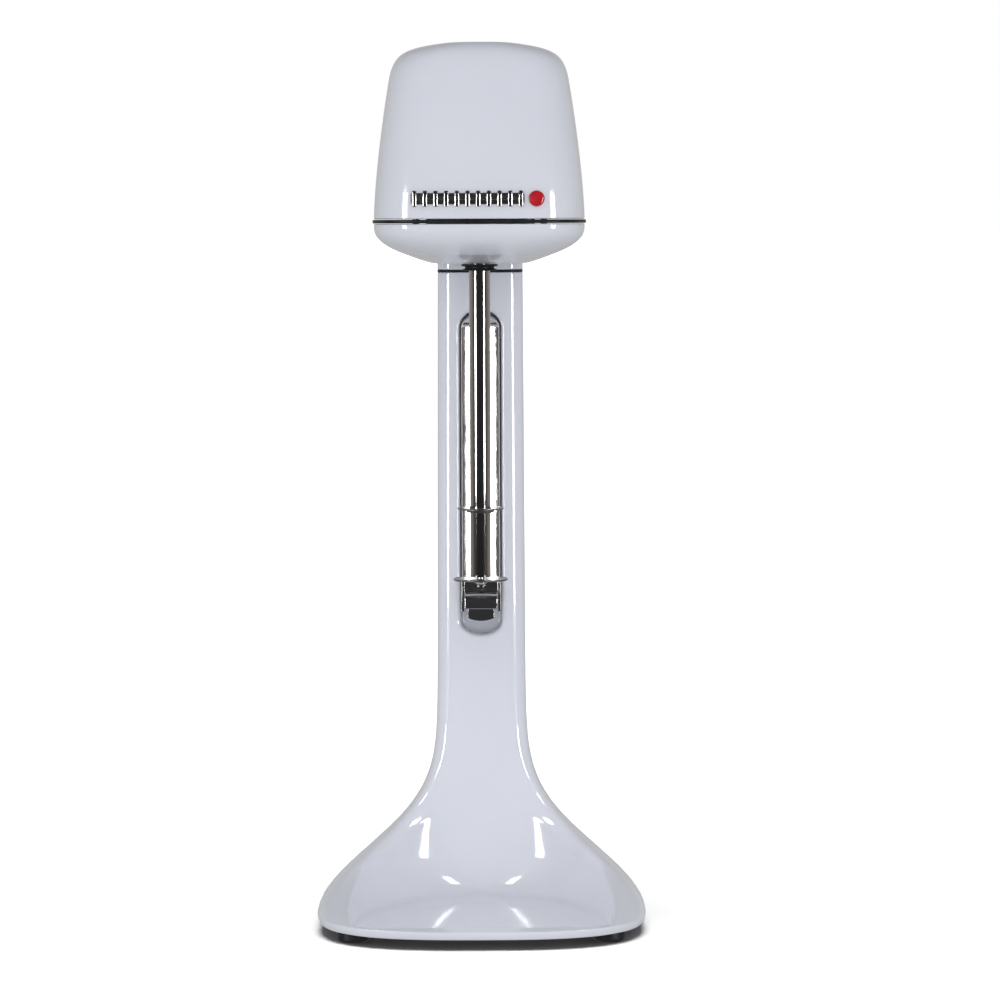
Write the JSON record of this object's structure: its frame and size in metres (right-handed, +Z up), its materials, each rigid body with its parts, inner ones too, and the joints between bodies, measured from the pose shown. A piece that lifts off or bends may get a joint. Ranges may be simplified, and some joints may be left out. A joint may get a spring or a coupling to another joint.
{
  "type": "drink mixer",
  "caption": "Countertop drink mixer with a capped motor head, a long spindle with agitators, a spring-returned cup guide that starts it, and a base with a shallow tray.",
  "frame": {"origin": "centre of the footprint, on the surface the feet stand on", "axes": "+Z up along the spindle, front of the mixer towards -Y, +X to the right seen from the front"},
  "size_m": [0.18, 0.204, 0.485],
  "materials": {
    "white_enamel": "gloss enamel on cast metal",
    "polished_steel": "polished stainless steel",
    "bright_chrome": "bright chrome plate",
    "zinc_steel": "zinc plated steel",
    "black_rubber": "satin black rubber",
    "dark_plastic": "moulded dark plastic",
    "copper_wire": "enamelled copper",
    "lamination": "stacked electrical steel",
    "cast_aluminium": "as cast",
    "red_enamel": "gloss red",
    "carbon": "pressed carbon",
    "pale_plastic": "moulded pale plastic"
  },
  "bodies": {
    "stand": {"column_base": "white_enamel", "lower_housing": "white_enamel", "hood": "white_enamel", "lower_bearing": "polished_steel", "upper_bearing": "polished_steel", "guide_pivot_pin": "polished_steel", "badge_ribs": "bright_chrome", "base_plate": "zinc_steel", "guide_spring": "zinc_steel", "plate_screw_left": "zinc_steel", "plate_screw_right": "zinc_steel", "neck_bolt_left": "zinc_steel", "neck_bolt_right": "zinc_steel", "hood_screw_left": "zinc_steel", "hood_screw_right": "zinc_steel", "foot_screw_front_left": "zinc_steel", "foot_screw_front_right": "zinc_steel", "foot_screw_rear_left": "zinc_steel", "foot_screw_rear_right": "zinc_steel", "motor_bolt_front_left": "zinc_steel", "motor_bolt_front_right": "zinc_steel", "motor_bolt_rear_left": "zinc_steel", "motor_bolt_rear_right": "zinc_steel", "cord_gland": "black_rubber", "neck_gasket": "black_rubber", "seam_gasket": "black_rubber", "rubber_foot_front_left": "black_rubber", "rubber_foot_front_right": "black_rubber", "rubber_foot_rear_left": "black_rubber", "rubber_foot_rear_right": "black_rubber", "badge_backing": "dark_plastic", "speed_switch_body": "dark_plastic", "brush_holder_left": "dark_plastic", "brush_holder_right": "dark_plastic", "microswitch": "dark_plastic", "field_winding_lower": "copper_wire", "field_winding_upper": "copper_wire", "stator_core": "lamination", "motor_lower_bracket": "cast_aluminium", "motor_upper_bracket": "cast_aluminium", "badge_accent": "red_enamel", "carbon_brush_left": "carbon", "carbon_brush_right": "carbon", "terminal_block": "pale_plastic", "capacitor": "pale_plastic"},
    "rotor": {"spindle": "polished_steel", "flinger": "black_rubber", "upper_agitator": "polished_steel", "lower_agitator": "polished_steel", "agitator_screw": "polished_steel", "armature": "lamination", "commutator": "copper_wire", "cooling_fan": "dark_plastic"},
    "guide": {"cup_guide": "bright_chrome", "cup_rest": "bright_chrome", "cup_rest_screw": "polished_steel"},
    "rocker": {"speed_rocker": "dark_plastic"},
    "plunger": {"switch_plunger": "red_enamel"}
  },
  "joints": [
    {"name": "spindle_spin", "type": "hinge", "parent": "stand", "child": "rotor", "pos_m": [0, -0.004, 0.28], "axis": [0, 0, 1], "continuous": true},
    {"name": "cup_guide_swing", "type": "hinge", "parent": "stand", "child": "guide", "pos_m": [0, 0.055, 0.322], "axis": [1, 0, 0], "range_deg": [0, 2.5], "stiffness_Nm_per_rad": 0.5, "springref_deg": -6.88},
    {"name": "switch_plunger_travel", "type": "slide", "parent": "stand", "child": "plunger", "axis": [0, 1, 0], "range_m": [0, 0.0022]},
    {"name": "speed_rocker_tilt", "type": "hinge", "parent": "stand", "child": "rocker", "pos_m": [0, 0.0891, 0.418], "axis": [1, 0, 0], "range_deg": [-9, 9]}
  ],
  "couplings": [
    {"joint": "switch_plunger_travel", "follows": "cup_guide_swing", "m_per_rad": 0.05}
  ]
}
